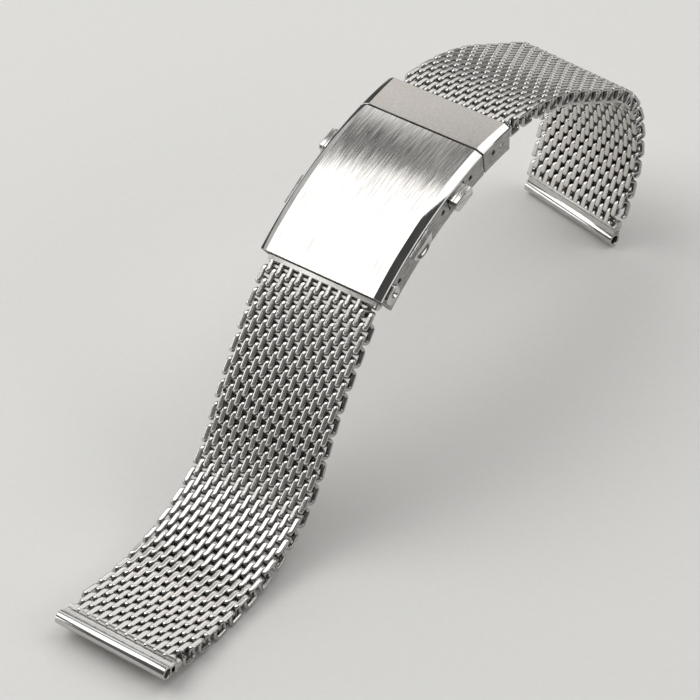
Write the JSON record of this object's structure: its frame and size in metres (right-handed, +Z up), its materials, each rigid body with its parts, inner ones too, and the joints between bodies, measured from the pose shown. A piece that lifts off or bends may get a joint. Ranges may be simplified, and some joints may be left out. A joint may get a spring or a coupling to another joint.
{
  "type": "milanese mesh watch bracelet",
  "caption": "Woven steel mesh watch bracelet in two halves with tubular end pieces and a curved folding clasp with two push buttons, lying in an S-shaped curve.",
  "frame": {"origin": "on the table, below the middle of the bracelet as it lies displayed", "axes": "+X across the strap, towards the right-hand side as seen from the near end; +Y from the near end tube to the far arch; +Z up from the table"},
  "size_m": [0.0276, 0.1408, 0.0515],
  "materials": {
    "mesh_steel": "flattened wire, satin outside with bright edges",
    "end_steel": "polished tube with a satin lip",
    "rod_steel": "turned",
    "spring_steel": "drawn wire",
    "brushed_clasp_steel": "brushed lengthwise, bevels polished",
    "blade_steel": "satin",
    "polished_steel": "polished"
  },
  "bodies": {
    "clasp_body": {"clasp_cover": "brushed_clasp_steel", "cover_hinge_pin": "rod_steel", "near_bar_barrel": "rod_steel", "near_bar_pins": "rod_steel", "near_bar_spring": "spring_steel", "lifting_lug_left": "polished_steel", "lifting_lug_right": "polished_steel", "button_spring_left": "spring_steel", "button_spring_right": "spring_steel"},
    "middle_body": {"middle_blade": "blade_steel"},
    "inner_body": {"inner_blade": "blade_steel", "blade_hinge_pin": "rod_steel", "latch_studs": "blade_steel", "end_link": "brushed_clasp_steel", "far_bar_barrel": "rod_steel", "far_bar_pins": "rod_steel", "far_bar_spring": "spring_steel"},
    "button_left_body": {"push_button_left": "polished_steel"},
    "button_right_body": {"push_button_right": "polished_steel"},
    "near_segment_1": {"near_mesh_1": "mesh_steel", "near_end_tube": "end_steel", "near_end_rod": "rod_steel"},
    "far_segment_1": {"far_mesh_1": "mesh_steel", "far_clasp_tube": "end_steel", "far_clasp_rod": "rod_steel"},
    "near_segment_2": {"near_mesh_2": "mesh_steel"},
    "far_segment_2": {"far_mesh_2": "mesh_steel"},
    "near_segment_3": {"near_mesh_3": "mesh_steel"},
    "far_segment_3": {"far_mesh_3": "mesh_steel"},
    "near_segment_4": {"near_mesh_4": "mesh_steel"},
    "far_segment_4": {"far_mesh_4": "mesh_steel"},
    "near_segment_5": {"near_mesh_5": "mesh_steel"},
    "far_segment_5": {"far_mesh_5": "mesh_steel"},
    "near_segment_6": {"near_mesh_6": "mesh_steel", "near_clasp_tube": "end_steel", "near_clasp_rod": "rod_steel"},
    "far_segment_6": {"far_mesh_6": "mesh_steel", "far_end_tube": "end_steel", "far_end_rod": "rod_steel"}
  },
  "joints": [
    {"name": "cover_fold", "type": "hinge", "parent": "clasp_body", "child": "middle_body", "pos_m": [0, 0.01568, 0.04963], "axis": [1, 0, 0], "range_deg": [0, 90]},
    {"name": "blade_fold", "type": "hinge", "parent": "middle_body", "child": "inner_body", "pos_m": [0, -0.0022, 0.04238], "axis": [-1, 0, 0], "range_deg": [0, 90]},
    {"name": "button_left", "type": "slide", "parent": "clasp_body", "child": "button_left_body", "axis": [1, 0, 0], "range_m": [0, 0.0008], "stiffness_N_per_m": 1500, "springref_m": -0.0006, "deforming": ["button_spring_left"]},
    {"name": "button_right", "type": "slide", "parent": "clasp_body", "child": "button_right_body", "axis": [-1, 0, 0], "range_m": [0, 0.0008], "stiffness_N_per_m": 1500, "springref_m": -0.0006, "deforming": ["button_spring_right"]},
    {"name": "near_bar_hinge", "type": "hinge", "parent": "clasp_body", "child": "near_segment_6", "pos_m": [0, -0.00855, 0.03933], "axis": [1, 0, 0], "range_deg": [-10, 30]},
    {"name": "far_bar_hinge", "type": "hinge", "parent": "inner_body", "child": "far_segment_1", "pos_m": [0, 0.02229, 0.04898], "axis": [-1, 0, 0], "range_deg": [-4, 35]},
    {"name": "near_flex_5", "type": "hinge", "parent": "near_segment_6", "child": "near_segment_5", "pos_m": [0, -0.01867, 0.02854], "axis": [1, 0, 0], "range_deg": [-10.2, 7.8]},
    {"name": "near_flex_4", "type": "hinge", "parent": "near_segment_5", "child": "near_segment_4", "pos_m": [0, -0.02561, 0.01877], "axis": [1, 0, 0], "range_deg": [-10.2, 7.8]},
    {"name": "near_flex_3", "type": "hinge", "parent": "near_segment_4", "child": "near_segment_3", "pos_m": [0, -0.03236, 0.00891], "axis": [1, 0, 0], "range_deg": [-4, 14]},
    {"name": "near_flex_2", "type": "hinge", "parent": "near_segment_3", "child": "near_segment_2", "pos_m": [0, -0.04272, 0.00306], "axis": [1, 0, 0], "range_deg": [-5.5, 12.5]},
    {"name": "near_flex_1", "type": "hinge", "parent": "near_segment_2", "child": "near_segment_1", "pos_m": [0, -0.05457, 0.00154], "axis": [1, 0, 0], "range_deg": [-6.2, 11.8]},
    {"name": "far_flex_1", "type": "hinge", "parent": "far_segment_1", "child": "far_segment_2", "pos_m": [0.00002, 0.0369, 0.04685], "axis": [-1, 0.0043, 0], "range_deg": [-11.3, 6.7]},
    {"name": "far_flex_2", "type": "hinge", "parent": "far_segment_2", "child": "far_segment_3", "pos_m": [0.00016, 0.04791, 0.04215], "axis": [-0.9998, 0.0207, 0], "range_deg": [-11.3, 6.7]},
    {"name": "far_flex_3", "type": "hinge", "parent": "far_segment_3", "child": "far_segment_4", "pos_m": [0.00054, 0.05827, 0.03611], "axis": [-0.9988, 0.0494, 0], "range_deg": [-8.6, 9.4]},
    {"name": "far_flex_4", "type": "hinge", "parent": "far_segment_4", "child": "far_segment_5", "pos_m": [0.00108, 0.06615, 0.02748], "axis": [-0.9959, 0.0903, 0], "range_deg": [-16.5, 1.5]},
    {"name": "far_flex_5", "type": "hinge", "parent": "far_segment_5", "child": "far_segment_6", "pos_m": [0.00118, 0.06717, 0.01563], "axis": [-0.9897, 0.1433, 0], "range_deg": [-13.5, 4.5]}
  ]
}
